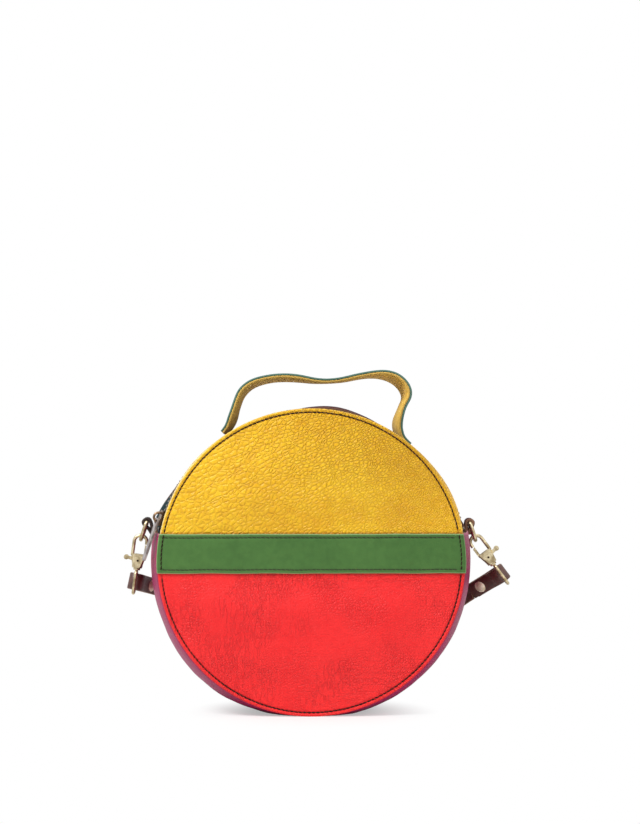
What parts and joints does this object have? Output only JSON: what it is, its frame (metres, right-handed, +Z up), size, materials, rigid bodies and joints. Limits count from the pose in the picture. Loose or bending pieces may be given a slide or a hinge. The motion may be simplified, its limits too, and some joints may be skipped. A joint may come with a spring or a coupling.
{
  "type": "round shoulder bag",
  "caption": "Round panelled leather shoulder bag with a zip round its top, a short top handle and a clip-on strap held on D-rings by swivel snap hooks.",
  "frame": {"origin": "on the floor, at the middle of the flat patch that the bag stands on, at mid depth", "axes": "+X to the bag's right as its front is seen, -Y out of the front panel, +Z up"},
  "size_m": [0.2589, 0.1545, 0.2255],
  "materials": {
    "yellow_leather": "pebbled, soft sheen",
    "green_leather": "smooth, satin",
    "red_leather": "fine grain, satin",
    "plum_leather": "smooth, satin",
    "maroon_leather": "smooth, satin",
    "teal_leather": "smooth, satin",
    "black_leather": "smooth, satin",
    "strap_leather": "smooth, satin",
    "lining": "plain woven cotton",
    "zip_tape": "woven",
    "zip_metal": "dark antique",
    "light_brass": "polished, antique",
    "spring_steel": "bright"
  },
  "bodies": {
    "body": {"front_lower_panel": "red_leather", "front_band": "green_leather", "back_panel": "plum_leather", "lower_gusset": "plum_leather", "zip_back_strip": "maroon_leather", "zip_tape_back": "zip_tape", "zip_teeth_back": "zip_metal", "zip_end_stops": "zip_metal", "side_tab_left": "black_leather", "side_tab_right": "black_leather", "handle_end_left": "teal_leather", "handle_end_right": "teal_leather", "handle_root_left": "teal_leather", "handle_root_right": "teal_leather", "lining_front_lower": "lining", "lining_back": "lining", "lining_gusset": "lining", "swivel_eye_left": "light_brass", "swivel_eye_right": "light_brass", "strap_end_left": "strap_leather", "strap_end_right": "strap_leather", "strap_rivet_left": "light_brass", "strap_rivet_right": "light_brass", "strap_run_left": "strap_leather", "strap_run_right": "strap_leather", "strap_coil": "strap_leather"},
    "front_flap": {"front_upper_panel": "yellow_leather", "zip_front_strip": "maroon_leather", "zip_tape_front": "zip_tape", "zip_teeth_front": "zip_metal", "lining_front_upper": "lining"},
    "slider": {"zip_slider": "light_brass"},
    "pull": {"zip_pull": "light_brass"},
    "handle": {"handle_outer": "teal_leather", "handle_inner": "yellow_leather"},
    "ring_left": {"d_ring_left": "light_brass"},
    "hook_left": {"hook_body_left": "light_brass", "gate_pin_left": "light_brass", "gate_spring_left": "spring_steel"},
    "gate_left": {"gate_lever_left": "light_brass"},
    "ring_right": {"d_ring_right": "light_brass"},
    "hook_right": {"hook_body_right": "light_brass", "gate_pin_right": "light_brass", "gate_spring_right": "spring_steel"},
    "gate_right": {"gate_lever_right": "light_brass"}
  },
  "joints": [
    {"name": "zip_slide", "type": "hinge", "parent": "body", "child": "slider", "pos_m": [0, -0.025, 0.095], "axis": [0, 1, 0], "range_deg": [0, 142]},
    {"name": "flap_open", "type": "hinge", "parent": "body", "child": "front_flap", "pos_m": [0, -0.035, 0.1185], "axis": [1, 0, 0], "range_deg": [0, 35.5], "deforming": ["zip_tape_front", "zip_teeth_front"]},
    {"name": "pull_swing", "type": "hinge", "parent": "slider", "child": "pull", "pos_m": [-0.09968, -0.02574, 0.12908], "axis": [-0.2494, 0.9646, 0.0853], "range_deg": [0, 150]},
    {"name": "handle_tilt", "type": "hinge", "parent": "body", "child": "handle", "pos_m": [0, 0.009, 0.195], "axis": [1, 0, 0], "range_deg": [-35, 35], "deforming": ["handle_root_left", "handle_root_right"]},
    {"name": "ring_swing_left", "type": "hinge", "parent": "body", "child": "ring_left", "pos_m": [-0.10921, 0.008, 0.12421], "axis": [0, 1, 0], "range_deg": [0, 2]},
    {"name": "hook_swivel_left", "type": "hinge", "parent": "body", "child": "hook_left", "pos_m": [-0.11462, 0.008, 0.10289], "axis": [0.1392, 0, 0.9903], "range_deg": [-20, 20]},
    {"name": "gate_press_left", "type": "hinge", "parent": "hook_left", "child": "gate_left", "pos_m": [-0.11523, 0.008, 0.09853], "axis": [0, -1, 0], "range_deg": [0, 20], "stiffness_Nm_per_rad": 0.02, "springref_deg": -11.46, "deforming": ["gate_spring_left"]},
    {"name": "ring_swing_right", "type": "hinge", "parent": "body", "child": "ring_right", "pos_m": [0.10618, 0.008, 0.12354], "axis": [0, -1, 0], "range_deg": [0, 3]},
    {"name": "hook_swivel_right", "type": "hinge", "parent": "body", "child": "hook_right", "pos_m": [0.11603, 0.008, 0.10405], "axis": [-0.6018, 0, 0.7986], "range_deg": [-20, 20]},
    {"name": "gate_press_right", "type": "hinge", "parent": "hook_right", "child": "gate_right", "pos_m": [0.11868, 0.008, 0.10054], "axis": [0, 1, 0], "range_deg": [0, 20], "stiffness_Nm_per_rad": 0.02, "springref_deg": -11.46, "deforming": ["gate_spring_right"]}
  ],
  "couplings": [
    {"joint": "flap_open", "follows": "zip_slide", "ratio": 0.25}
  ]
}
